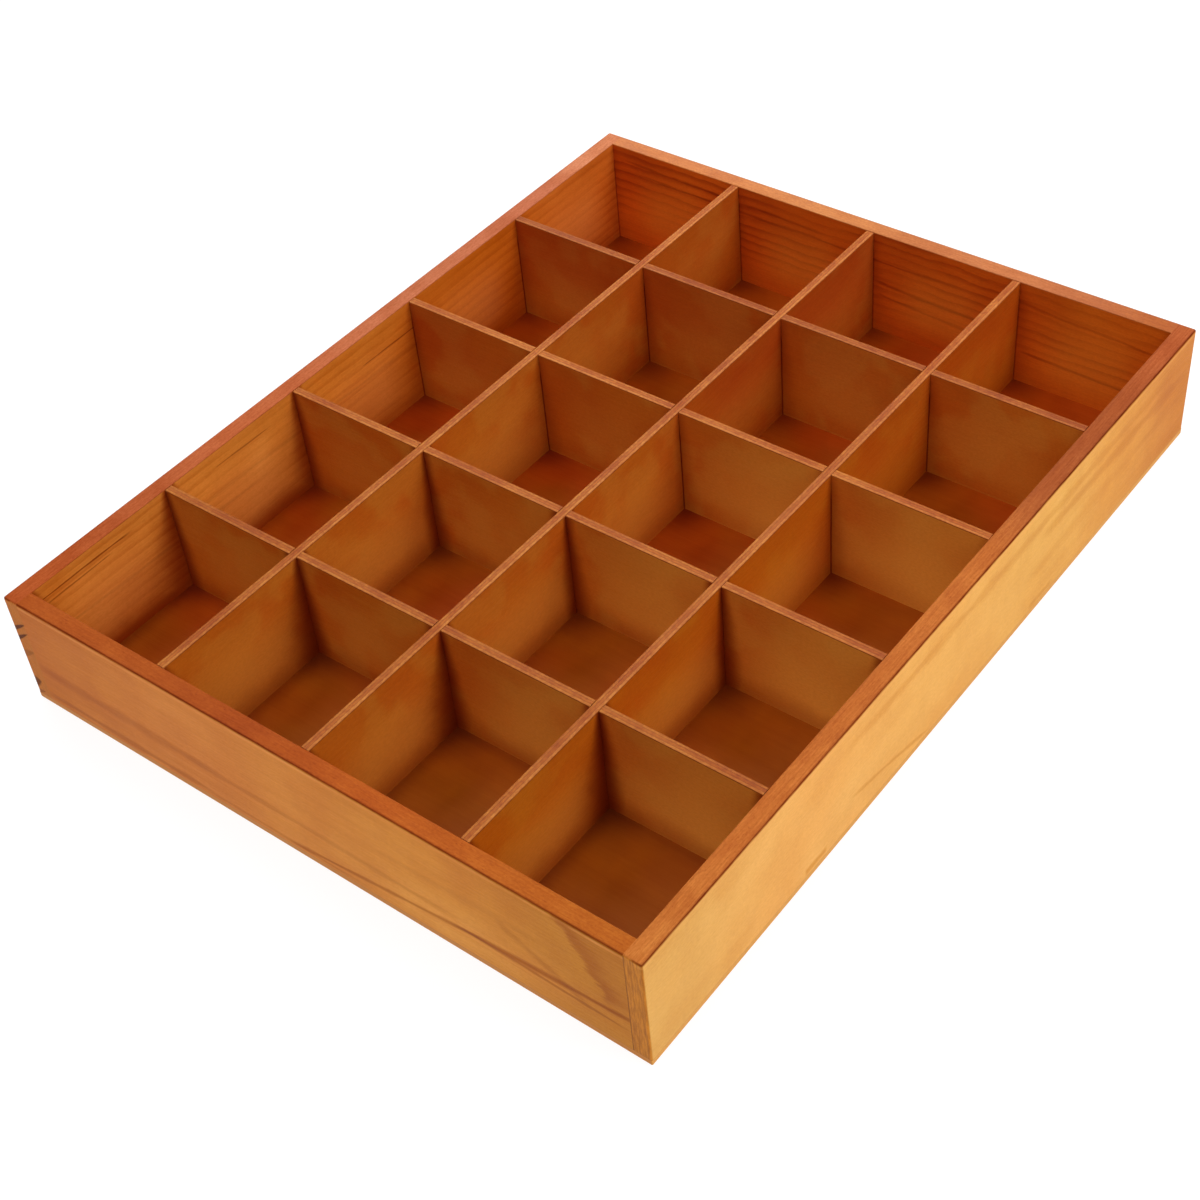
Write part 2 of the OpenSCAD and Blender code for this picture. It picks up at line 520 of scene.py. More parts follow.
def make_painted_side_shadow():
    """The one side of every compartment that is given a painted shadow near the rim."""
    group, r, sockets, out = effect("painted shadow side of compartment", "Along", "Pitch")
    along, pitch = sockets
    part = r.maths("FRACT", r.over(along, pitch))
    r.feed(out, r.fall(part, 0.15, 0.7))
    return group


growth_rings = make_growth_rings()
fibres = make_grain("wood fibres", detail=3.0, roughness=0.6, low=0.3, high=0.7)
blotches = make_blotches()
streak = make_streak()
pooled_stain_and_shade = make_pooled_stain_and_shade()
thin_stain = make_thin_stain()
painted_side_shadow = make_painted_side_shadow()
pores = make_grain("dark pores", detail=2.0, roughness=0.7, low=0.6, high=0.78)


def fine_marks(r, kind, place, length, width, seed):
    """Fibres or pores of the given length and width in mm."""
    return r.use(kind, Place=place, Length=length * MM, Width=width * MM, Seed=seed)


def stain_clouds(r, place, size, seed):
    """Uneven stain in patches of the given size in mm."""
    return r.use(blotches, Place=place, Size=size * MM, Seed=seed)


def new_finish(name, gloss=0.2):
    material = bpy.data.materials.new(name)
    material.use_nodes = True
    shader = material.node_tree.nodes["Principled BSDF"]
    shader.inputs["IOR"].default_value = 1.5
    shader.inputs["Specular IOR Level"].default_value = gloss
    return material, Recipe(material.node_tree), shader


def finish_surface(r, shader, colour, roughness, height, depth):
    """Feeds the shader with colour, roughness and a relief of the given depth in metres."""
    r.feed(shader.inputs["Base Color"], colour)
    r.feed(shader.inputs["Roughness"], roughness)
    bump = r.node("ShaderNodeBump")
    bump.inputs["Strength"].default_value = 1.0
    bump.inputs["Distance"].default_value = depth
    r.feed(bump.inputs["Height"], height)
    r.feed(shader.inputs["Normal"], bump.outputs[0])


# Stained pine boards

# Each tone multiplies the colour underneath it
pine_tones = {
    "cloud": (0.93, 0.88, 0.8), "long_fibres": (0.84, 0.74, 0.62),
    # pool is stain with painted shade, side is a painted shadow
    "short_fibres": (0.9, 0.84, 0.76), "pool": (0.45, 0.16, 0.08), "side": (0.78, 0.66, 0.6),
    "grit": (0.88, 0.8, 0.7), "end_lines": (0.6, 0.5, 0.42), "end_pores": (0.5, 0.4, 0.35),
    "end_mark": (0.26, 0.17, 0.0), "end_joint": (0.4, 0.3, 0.24),
    "rim_patches": (0.88, 0.78, 0.68), "rim_fibres": (0.76, 0.62, 0.52),
    "rim_pores": (0.6, 0.42, 0.35), "rim_grit": (0.8, 0.68, 0.55),
    "rim_edge": (0.55, 0.36, 0.3), "arris": (0.38, 0.14, 0.06),
}


def wall_stain_and_shade(r, along, y, z, to_back, spread, foot):
    """Where stain and painted shade have pooled and where the stain is thin on the walls; the pools,
    and so the painted shade, fade toward the back.
    """
    pitch = cell_pitch_y if to_back else cell_pitch_x
    wall = cell_pitch_y / 2 if to_back else 0.0
    pool = r.use(pooled_stain_and_shade, Along=along, Height=z, Pitch=pitch, Wall=wall, Rim_height=rim_z,
                 Floor_height=panel_top, Top_width=2.5 * MM if to_back else 5 * MM,
                 Spread=spread, Foot=foot, Fade=r.rise(y, -60 * MM, 50 * MM, 1.0, 0.3))
    thin = r.use(thin_stain, Along=along, Height=z, Pitch=pitch, Wall=wall, Floor_height=panel_top)
    return pool, thin


def pine_finish(board):
    """Stained pine for one frame board, with its own colours, rings and streaks."""
    board = {**usual_pine, **board}
    material, r, shader = new_finish(board["name"], board["gloss"])
    place = r.object_place()
    x, y, z = r.parts(place)
    long_board = board["long"]
    along = y if long_board else x
    depth = r.less(half_w if long_board else half_l, r.absolute(x if long_board else y))
    in_board = r.join(along, depth, z)
    seed = board["seed"]

    # Outside face to inside face
    inside = r.rise(depth, 3 * MM, 5 * MM)
    outside = r.rest(inside)
    face = r.mix(inside, r.drift(along, board["outside"]), r.drift(along, board["inside"]))
    for glow in board["glows"]:
        off_along = r.absolute(r.less(along, glow["along"]))
        off_height = r.absolute(r.less(z, glow["height"]))
        body = r.times(r.fall(off_along, 0.0, glow["reach"]), r.fall(off_height, 0.0, glow["tall"]))
        face = r.mix(r.times(body, outside, glow["strength"]), face, glow["colour"])

    # Stain, rings and fibres
    patches = stain_clouds(r, in_board, 55, seed)
    face = r.shade(face, patches, board["patch_tone"], 0.8)
    cloud = stain_clouds(r, in_board, 21, seed + 3)
    face = r.shade(face, cloud, pine_tones["cloud"], 0.8)
    rings = r.use(growth_rings, Place=in_board, Pith_depth=board["pith_depth"],
                  Pith_height=board["pith_height"], Ring_width=board["ring_width"],
                  Wander=board["wander"], Late_part=board["late_part"], Seed=seed)
    ring_fade = stain_clouds(r, r.stretch(in_board, (0.35, 1, 1)), 24, seed + 9)
    low_fade = r.rise(z, board["rings_from"], board["rings_from"] + 12 * MM, 0.25, 1.0)
    inside_rings = r.times(low_fade, board["rings_inside"])
    ring_strength = r.add(board["rings_outside"],
                          r.times(inside, r.less(inside_rings, board["rings_outside"])))
    ring_mask = r.times(rings, r.rise(ring_fade, 0.0, 1.0, 0.35, 1.0), ring_strength)
    face = r.shade(face, ring_mask, board["ring_tone"])
    long_fibres = fine_marks(r, fibres, in_board, board["fibre_length"], 1.1, seed + 5)
    face = r.shade(face, long_fibres, pine_tones["long_fibres"], board["fibre_strength"])
    short_fibres = fine_marks(r, fibres, in_board, 7, 0.35, seed + 6)
    face = r.shade(face, short_fibres, pine_tones["short_fibres"], 0.55)

    # Long dark streaks that this board shows
    for drawn in board["streaks"]:
        mask = r.use(streak, Along=along, Height=z, From=drawn["from"], To=drawn["to"],
                     Start_height=drawn["start"], End_height=drawn["end"],
                     Half_width=drawn["half_width"], Wander=drawn["wander"], Seed=drawn["seed"])
        mask = r.times(mask, inside if board["streaks_inside"] else outside)
        face = r.shade(face, mask, board["streak_tone"], drawn["strength"])

    # Crossed grain that ends in a ragged edge near one end of the board
    for patch in board["flares"]:
        fallen = r.over(r.less(patch["top"], z), patch["top"] - patch["foot"])
        edge = r.add(patch["begin"], r.times(fallen, patch["lean"]))
        bend = r.noise(r.stretch(in_board, (40, 60, 190), patch["seed"]), 5.0, 0.65)
        edge = r.add(edge, r.times(r.less(bend, 0.5), patch["wander"]))
        past = r.less(along, edge)
        body = r.times(r.rise(past, 0.0, 3.5 * MM), r.rise(past, 3 * MM, 16 * MM, 1.0, 0.3))
        body = r.times(body, r.rise(z, patch["foot"] - 5 * MM, patch["foot"] + 2 * MM), outside)
        face = r.shade(face, body, patch["tone"], patch["strength"])

    # Inside, stain and painted shade have pooled in the corners
    spread = r.rise(y, -160 * MM, -20 * MM, 0.55, 0.24) if long_board else 0.12
    pool, thin = wall_stain_and_shade(r, along, y, z, long_board, spread, 1.0 if long_board else 0.4)
    face = r.shade(face, r.times(pool, inside), pine_tones["pool"], board["pool_and_shade_strength"])
    face = r.mix(r.times(thin, inside, 0.4), face, board["thin_colour"])
    # Painted shadow on the one side of every compartment, near the rim
    from_side = r.less(cell_pitch_y / 2, y) if long_board else x
    side = r.use(painted_side_shadow, Along=from_side, Pitch=cell_pitch_y if long_board else cell_pitch_x)
    side = r.times(side, r.rise(z, 15 * MM, 45 * MM), inside)
    face = r.shade(face, side, pine_tones["side"], 0.2 if long_board else 0.9)
    grit = fine_marks(r, fibres, in_board, 1.8, 0.8, seed + 30)
    face = r.shade(face, grit, pine_tones["grit"], 0.6)

    # End grain of the long boards
    if long_board:
        at_end = r.rise(r.absolute(y), half_l - 0.8 * MM, half_l - 0.25 * MM)
        end_place = r.join(r.times(z, 0.12), depth, r.times(z, 0.12))
        end_lines = fine_marks(r, fibres, end_place, 5, 0.8, seed + 11)
        end_lines = r.times(end_lines, r.rise(y, -half_l / 2, half_l / 2, board["end_lines"], 0.9))
        end_colour = r.shade(board["end_colour"], end_lines, pine_tones["end_lines"])
        end_pores = fine_marks(r, pores, r.join(z, depth, depth), 1.4, 0.5, seed + 12)
        end_colour = r.shade(end_colour, end_pores, pine_tones["end_pores"], 0.7)
        # Splits in the end grain, drawn as dark marks: dirt with a painted shadow in each crack
        for split_mark in board["end_marks"]:
            middle = r.add(r.times(depth, split_mark["lift"]), split_mark["height"])
            tall = r.over(r.absolute(r.less(z, middle)), split_mark["half"])
            taper = r.over(depth, split_mark["length"])
            spot = r.fall(r.add(r.times(tall, 0.75), r.times(taper, taper)), 0.5, 1.0)
            spot = r.times(spot, r.fall(y, -half_l / 2, half_l / 2))
            end_colour = r.shade(end_colour, spot, pine_tones["end_mark"], split_mark["strength"])
        joint = r.rise(depth, board_t - 0.7 * MM, board_t - 0.1 * MM)
        end_colour = r.shade(end_colour, joint, pine_tones["end_joint"], board["end_joint"])
        face = r.mix(at_end, face, end_colour)

    # The arris under the rim: a thin dark line where the stain sits, and a painted highlight just
    # below it where the eased arris would catch the light
    broken = fine_marks(r, fibres, in_board, 16, 3, seed + 15)
    below_rim = r.less(rim_z, z)
    arris_highlight = r.times(r.rise(below_rim, 1.0 * MM, 1.5 * MM), r.fall(below_rim, 2.0 * MM, 3.2 * MM))
    arris_highlight = r.times(arris_highlight, outside, broken, board["arris_highlight"])
    face = r.mix(arris_highlight, face, board["pale_colour"])
    dark_line = r.times(r.rise(below_rim, 0.08 * MM, 0.25 * MM), r.fall(below_rim, 0.6 * MM, 1.1 * MM))
    dark_line = r.times(dark_line, r.rise(broken, 0.0, 1.0, 0.6, 1.0))

    # Rim
    on_rim = r.fall(below_rim, 0.25 * MM, 0.6 * MM)
    rim = r.drift(along, board["rim"])
    rim_patches = stain_clouds(r, in_board, 18, seed + 20)
    rim = r.shade(rim, rim_patches, pine_tones["rim_patches"], 0.8)
    rim_fibres = fine_marks(r, fibres, in_board, 14, 0.7, seed + 21)
    rim = r.shade(rim, rim_fibres, pine_tones["rim_fibres"], board["rim_fibres"])
    rim_pores = fine_marks(r, pores, in_board, 2.2, 0.45, seed + 22)
    rim = r.shade(rim, rim_pores, pine_tones["rim_pores"], board["rim_pores"])
    rim_grit = fine_marks(r, fibres, in_board, 1.6, 0.9, seed + 23)
    rim = r.shade(rim, rim_grit, pine_tones["rim_grit"], 0.7)
    outer_edge = r.fall(depth, 0.35 * MM, 1.1 * MM)
    rim = r.shade(rim, outer_edge, pine_tones["rim_edge"], 0.7)
    face = r.mix(on_rim, face, rim)
    arris = r.times(dark_line, outside, board["dark_line"])
    face = r.shade(face, arris, pine_tones["arris"])

    # Roughness and relief
    sheen = r.add(board["roughness"], r.times(long_fibres, 0.06), r.times(ring_mask, 0.08),
                  r.times(arris, 0.4))
    relief = r.add(r.times(long_fibres, 0.5), r.times(short_fibres, 0.5))
    relief = r.less(relief, r.times(ring_mask, 0.6))
    finish_surface(r, shader, face, sheen, relief, 0.05 * MM)
    return material


def line(begin, end, start, finish, half_width, strength, seed, wander):
    """One streak: its two ends, its heights there, its half width and its wander, all in mm."""
    return {"from": begin * MM, "to": end * MM, "start": start * MM, "end": finish * MM,
            "half_width": half_width * MM, "wander": wander * MM, "strength": strength,
            "seed": seed}


def mark(height, half, length, strength, lift):
    """One mark: its height, half width and length in mm, and its rise in mm per mm."""
    return {"height": height * MM, "half": half * MM, "length": length * MM, "strength": strength,
            "lift": lift}


# What a board has unless its own list below says otherwise
usual_pine = {
    "glows": [], "rings_from": 0.0, "fibre_strength": 0.3, "fibre_length": 45,
    "streaks_inside": False, "flares": [], "arris_highlight": 0.3, "pale_colour": (0.75, 0.3, 0.07),
    "dark_line": 1.0, "rim_fibres": 0.5, "rim_pores": 0.9, "end_marks": [],
}
front_pine = {
    "name": "stained_pine_front", "gloss": 0.06, "long": False, "seed": 3.0, "roughness": 0.45,
    "outside": [(-158, (0.68, 0.2, 0.014)), (-60, (0.81, 0.285, 0.043)), (60, (0.82, 0.32, 0.04)),
                (140, (0.68, 0.27, 0.024))],
    "inside": [(0, (0.6, 0.15, 0.012))],
    "glows": [{"along": 75 * MM, "height": 12 * MM, "reach": 80 * MM, "tall": 22 * MM,
               "strength": 0.75, "colour": (0.95, 0.42, 0.075)}],
    "patch_tone": (0.93, 0.84, 0.74),
    "pith_depth": -30 * MM, "pith_height": 95 * MM, "ring_width": 9 * MM, "wander": 9 * MM,
    "late_part": 0.5, "rings_outside": 0.12, "rings_inside": 0.5,
    "ring_tone": (0.76, 0.6, 0.45), "streak_tone": (0.64, 0.44, 0.06),
    "streaks": [
        line(-156, -45, 21.5, 20.5, 4.2, 0.45, 1.3, 2.5),
        line(-70, 80, 20.5, 19.5, 2.4, 0.35, 6.3, 2.0),
        line(-156, -50, 6.5, 6.0, 2.6, 0.6, 3.6, 1.5),
        line(-60, 30, 5.5, 4.5, 1.6, 0.35, 5.2, 1.5),
        line(-16, 90, 4.4, 16.4, 1.7, 0.85, 2.1, 1.2),
        line(66, 160, 14.2, 21.0, 1.9, 1.0, 7.4, 1.2),
        line(74, 152, 15.2, 13.4, 1.4, 0.75, 4.4, 1.0),
        line(92, 134, 34, 14, 5.0, 0.35, 8.3, 2.0),
        line(30, 120, 33, 36, 3.0, 0.2, 9.3, 4.0),
    ],
    "flares": [
        {"top": 55 * MM, "foot": 25 * MM, "begin": 122 * MM, "lean": 16 * MM, "wander": 20 * MM,
         "strength": 0.9, "tone": (0.72, 0.54, 0.2), "seed": 12.0},
    ],
    "pool_and_shade_strength": 0.8, "thin_colour": (0.7, 0.25, 0.04),
    "arris_highlight": 0.5, "pale_colour": (0.86, 0.36, 0.08), "dark_line": 0.65,
    "rim": [(-85, (0.43, 0.098, 0.012)), (-30, (0.39, 0.078, 0.009)), (30, (0.48, 0.11, 0.012)),
            (140, (0.51, 0.145, 0.016))],
}
back_pine = {
    "name": "stained_pine_back", "gloss": 0.24, "long": False, "seed": 17.0, "roughness": 0.4,
    "outside": [(-100, (0.78, 0.29, 0.035)), (120, (0.84, 0.33, 0.045))],
    "inside": [(-160, (0.8, 0.15, 0.01)), (60, (0.76, 0.155, 0.011)), (120, (0.8, 0.2, 0.014))],
    "patch_tone": (0.88, 0.72, 0.56),
    "pith_depth": 20 * MM, "pith_height": -60 * MM, "ring_width": 5.0 * MM, "wander": 12 * MM,
    "late_part": 0.6, "rings_outside": 0.3, "rings_inside": 0.65, "rings_from": 14 * MM,
    "ring_tone": (0.55, 0.34, 0.22), "streak_tone": (0.5, 0.3, 0.22), "streaks_inside": True,
    "streaks": [
        line(-150, -20, 50, 47, 1.2, 0.6, 1.1, 3.0),
        line(-150, 60, 44, 42, 1.1, 0.6, 2.3, 3.0),
        line(0, 74, 31, 27, 1.5, 0.8, 3.7, 2.5),
        line(2, 74, 24, 19, 1.3, 0.7, 4.6, 2.5),
        line(76, 150, 47, 42, 1.2, 0.5, 5.4, 3.0),
        line(78, 150, 20, 17, 1.0, 0.8, 7.7, 2.0),
    ],
    "pool_and_shade_strength": 0.7, "thin_colour": (0.76, 0.26, 0.026), "dark_line": 0.7,
    "rim": [(-100, (0.67, 0.225, 0.05)), (-30, (0.66, 0.24, 0.06)), (60, (0.6, 0.2, 0.06)),
            (110, (0.55, 0.17, 0.048)), (148, (0.5, 0.13, 0.014))],
    "rim_pores": 0.6,
}
left_pine = {
    "name": "stained_pine_left", "gloss": 0.03, "long": True, "seed": 29.0, "roughness": 0.42,
    # Some painted sheen is mixed into this board's colours: more blue in the rim, faces and end, and a
    # rim that gets paler toward the back end
    "outside": [(-100, (0.8, 0.32, 0.06)), (150, (0.76, 0.28, 0.05))],
    "inside": [(-155, (0.86, 0.32, 0.05)), (-90, (0.96, 0.42, 0.08)), (-10, (0.86, 0.31, 0.04)),
               (95, (0.73, 0.185, 0.012)), (150, (0.82, 0.23, 0.03))],
    "patch_tone": (0.88, 0.74, 0.55),
    "pith_depth": 60 * MM, "pith_height": 150 * MM, "ring_width": 4.8 * MM, "wander": 5 * MM,
    "late_part": 0.5, "rings_outside": 0.3, "rings_inside": 0.6,
    "ring_tone": (0.8, 0.62, 0.45),
    "fibre_strength": 0.35, "streak_tone": (0.42, 0.24, 0.15), "streaks_inside": True,
    "streaks": [
        line(-194, -138, 50.5, 50.5, 0.6, 1.0, 1.7, 1.6),
        line(-188, -150, 47.0, 47.5, 0.5, 0.8, 3.9, 1.2),
        line(-92, -56, 49.5, 49, 0.5, 0.7, 5.5, 1.2),
        line(0, 45, 43, 42.5, 0.5, 0.9, 5.1, 1.2),
        line(-120, 60, 37, 33, 1.6, 0.25, 6.6, 2.0),
        line(-192, -60, 31, 27, 1.8, 0.3, 9.2, 2.0),
    ],
    "pool_and_shade_strength": 0.9, "thin_colour": (0.82, 0.29, 0.07),
    "rim": [(-190, (0.45, 0.1, 0.024)), (-125, (0.455, 0.112, 0.036)), (-75, (0.54, 0.15, 0.056)),
            (50, (0.555, 0.178, 0.082)), (135, (0.565, 0.176, 0.085)), (180, (0.7, 0.27, 0.135))],
    "rim_pores": 0.8,
    "end_colour": (0.59, 0.18, 0.024), "end_lines": 0.3, "end_joint": 0.0,
    "end_marks": [mark(40.3, 1.2, 11.0, 1.0, 0.68), mark(34.6, 1.2, 9.5, 1.0, 0.75),
                  mark(26, 2.0, 9.0, 0.4, 0.5), mark(9.5, 3.2, 5.5, 0.9, 0.4),
                  mark(3.5, 1.2, 6.0, 0.5, 0.4)],
}
right_pine = {
    "name": "stained_pine_right", "gloss": 0.07, "long": True, "seed": 41.0, "roughness": 0.46,
    # The outside is paler and yellower than the other boards: partly the wood's own tone, partly a
    # painted highlight where the right face is brightly lit
    "outside": [(-190, (0.86, 0.47, 0.115)), (-110, (0.96, 0.5, 0.126)), (0, (0.93, 0.48, 0.105)),
                (80, (0.9, 0.48, 0.1)), (130, (0.86, 0.4, 0.066)), (195, (0.7, 0.235, 0.018))],
    "inside": [(0, (0.6, 0.17, 0.016))],
    "patch_tone": (0.98, 0.9, 0.78),
    "pith_depth": -70 * MM, "pith_height": -60 * MM, "ring_width": 17 * MM, "wander": 10 * MM,
    "late_part": 0.6, "rings_outside": 0.1, "rings_inside": 0.4,
    "ring_tone": (0.88, 0.72, 0.5),
    "fibre_strength": 0.12, "fibre_length": 60, "streak_tone": (0.82, 0.66, 0.3),
    "streaks": [
        line(-90, 199, 46, 46, 4.5, 0.5, 1.9, 3.0),
        line(-76, -16, 18, 4, 1.5, 0.7, 3.1, 3.0),
        line(-106, -90, 5.5, 5.5, 2.2, 0.9, 4.7, 0.6),
        line(60, 80, 5, 5, 1.8, 0.6, 5.9, 0.6),
        line(50, 199, 22, 27, 5.0, 0.35, 7.3, 3.0),
        line(60, 199, 39, 37.5, 5.0, 0.65, 8.8, 2.0),
    ],
    "pool_and_shade_strength": 0.6, "thin_colour": (0.7, 0.25, 0.04),
    "arris_highlight": 0.35, "pale_colour": (0.9, 0.46, 0.1),
    "rim": [(-190, (0.59, 0.2, 0.038)), (-130, (0.57, 0.175, 0.03)), (20, (0.57, 0.175, 0.03)),
            (80, (0.43, 0.115, 0.025)), (130, (0.41, 0.103, 0.023)), (185, (0.485, 0.124, 0.033))],
    "rim_fibres": 0.8,
    "end_colour": (0.68, 0.24, 0.018), "end_lines": 0.9, "end_joint": 0.85,
}


# Stained plywood dividers

# How the colour of the top edges changes from front to back
long_top_tones = [(-150, (0.83, 0.83, 0.65)), (-80, (0.9, 0.93, 0.83)), (70, (0.9, 0.87, 0.78)),
                  (130, (1.0, 1.0, 1.0))]
cross_top_tones = [(-116, (0.8, 0.77, 0.53)), (-39, (0.86, 0.83, 0.68)), (39, (0.95, 0.97, 0.89)),
                   (116, (0.79, 0.7, 0.6))]
ply_tones = {
    "veneer": (0.86, 0.76, 0.66), "short_fibres": (0.86, 0.78, 0.7),
    # side is a painted shadow, pool is stain with painted shade
    "flecks": (0.7, 0.55, 0.45), "right_strip": (1.0, 0.94, 0.5), "side": (0.82, 0.66, 0.55),
    "far": (0.78, 0.5, 0.5), "pool": (0.42, 0.19, 0.11), "grit": (0.86, 0.78, 0.68),
    "core": (0.9, 0.74, 0.66), "glue": (0.66, 0.5, 0.42), "top_grit": (0.74, 0.58, 0.44),
    "worn": (0.62, 0.42, 0.34),
}


def plywood_finish(name, long_divider, seed, face_colour, red_colour, pale_colour, gold_colour):
    """Veneered faces, with the three plies showing along the top edge."""
    material, r, shader = new_finish(name)
    place = r.object_place()
    x, y, z = r.parts(place)
    along, across = (y, x) if long_divider else (x, y)
    pitch = cell_pitch_x if long_divider else cell_pitch_y
    # Signed distance from the middle of the strip, the same for every strip of the lattice
    shifted = r.add(across, (0.0 if long_divider else cell_pitch_y / 2) + pitch / 2)
    off_middle = r.times(r.less(r.maths("FRACT", r.over(shifted, pitch)), 0.5), pitch)
    edge = r.less(divider_t / 2, r.absolute(off_middle))
    in_strip = r.join(along, across, z)

    # Faces
    red = stain_clouds(r, in_strip, 38, seed)
    pale = stain_clouds(r, in_strip, 30, seed + 31)
    face = r.mix(r.times(red, 0.7), face_colour, red_colour)
    face = r.mix(r.times(r.rise(pale, 0.3, 1.0), 0.6), face, pale_colour)
    veneer = fine_marks(r, fibres, in_strip, 30, 1.6, seed + 2)
    face = r.shade(face, veneer, ply_tones["veneer"], 0.25)
    short = fine_marks(r, fibres, in_strip, 5, 0.4, seed + 3)
    face = r.shade(face, short, ply_tones["short_fibres"], 0.25)
    flecks = fine_marks(r, pores, in_strip, 4, 0.35, seed + 4)
    face = r.shade(face, flecks, ply_tones["flecks"], 0.3)
    spread = r.rise(y, -160 * MM, -20 * MM, 0.45, 0.13) if long_divider else 0.14
    pool, thin = wall_stain_and_shade(r, along, y, z, long_divider, spread, 0.35)
    # A thin pale line at the foot, along the joint with the floor: a painted highlight
    foot = r.times(r.fall(r.less(z, panel_top), 0.7 * MM, 1.3 * MM), r.rest(pool))
    face = r.mix(r.times(foot, 0.35), face, pale_colour)
    face = r.mix(r.times(thin, 0.5), face, pale_colour)
    # Redder toward the back and near the rim, golden toward the front right and lower down
    down = r.fall(z, 12 * MM, 44 * MM)
    if long_divider:
        far = r.times(r.rise(y, -20 * MM, 140 * MM), 0.55)
        in_middle = r.times(r.fall(r.absolute(x), 20 * MM, 40 * MM), r.rise(y, 0.0, 90 * MM))
        far = r.larger(far, in_middle)
        gold = r.times(r.fall(y, -60 * MM, 110 * MM), down, 0.75)
        face = r.shade(face, r.rise(x, 50 * MM, 60 * MM), ply_tones["right_strip"])
    else:
        far = r.rise(r.less(y, r.times(x, 0.7)), -30 * MM, 200 * MM)
        gold = r.times(r.rise(x, -40 * MM, 100 * MM), r.fall(y, 20 * MM, 140 * MM))
        # Painted shadow on the one side of every compartment, near the rim; the golden tone is kept
        # out of it
        side = r.use(painted_side_shadow, Along=x, Pitch=cell_pitch_x)
        gold = r.times(gold, r.add(r.times(down, 0.5), 0.5), r.rest(r.times(side, 0.7)))
        side = r.times(side, r.rest(r.times(down, 0.8)))
        face = r.shade(face, side, ply_tones["side"], 0.5)
    face = r.shade(face, r.times(far, r.rest(r.times(down, 0.6))), ply_tones["far"])
    face = r.mix(r.times(gold, r.rest(pool)), face, gold_colour)
    # Stain and painted shade pooled in the corners, at the foot and at the joints
    face = r.shade(face, pool, ply_tones["pool"])
    grit = fine_marks(r, fibres, in_strip, 1.6, 0.8, seed + 41)
    face = r.shade(face, grit, ply_tones["grit"], 0.6)

    # Top edge: two face plies with the core between them
    wobble = r.noise(r.join(r.times(along, 45.0), seed, 0.0))
    ply_place = r.add(off_middle, r.times(r.less(wobble, 0.5), 0.25 * MM))
    core = r.fall(r.absolute(ply_place), 0.55 * MM, 0.75 * MM)
    glue_off = r.absolute(r.less(r.absolute(ply_place), 0.68 * MM))
    glue = r.fall(glue_off, 0.08 * MM, 0.26 * MM)
    tone = stain_clouds(r, in_strip, 26, seed + 40)
    top = r.mix(tone, (0.48, 0.125, 0.013), (0.593, 0.2, 0.031))
    one_side = r.rise(r.times(off_middle, 1 if long_divider else -1), 0.4 * MM, 1.2 * MM)
    top = r.shade(top, core, ply_tones["core"], 0.8)
    top = r.mix(r.times(one_side, 0.35), top, (0.707, 0.268, 0.066))
    top = r.shade(top, 1.0, r.drift(y, long_top_tones if long_divider else cross_top_tones))
    top = r.shade(top, glue, ply_tones["glue"], 0.75)
    top = r.shade(top, grit, ply_tones["top_grit"])
    worn = r.times(r.fall(edge, 0.1 * MM, 0.4 * MM), 0.7)
    top = r.shade(top, worn, ply_tones["worn"])
    on_top = r.rise(z, rim_z - 0.95 * MM, rim_z - 0.6 * MM)
    colour = r.mix(on_top, face, top)

    sheen = r.add(0.5, r.times(veneer, 0.08))
    relief = r.add(r.times(veneer, 0.4), r.times(short, 0.6))
    relief = r.less(relief, r.times(flecks, 0.5))
    finish_surface(r, shader, colour, sheen, relief, 0.05 * MM)
    return material


# Stained bottom panel

panel_tones = {
    # corner is painted shade in the compartment corners
    "cloud": (0.84, 0.72, 0.6), "corner": (0.5, 0.33, 0.25), "wall_foot_shade": (0.72, 0.6, 0.5),
    "under_rings": (0.72, 0.58, 0.46), "middle_ply": (0.75, 0.62, 0.55),
    "seam": (0.6, 0.5, 0.45), "grain": (0.85, 0.75, 0.65), "short_fibres": (0.88, 0.8, 0.72),
}


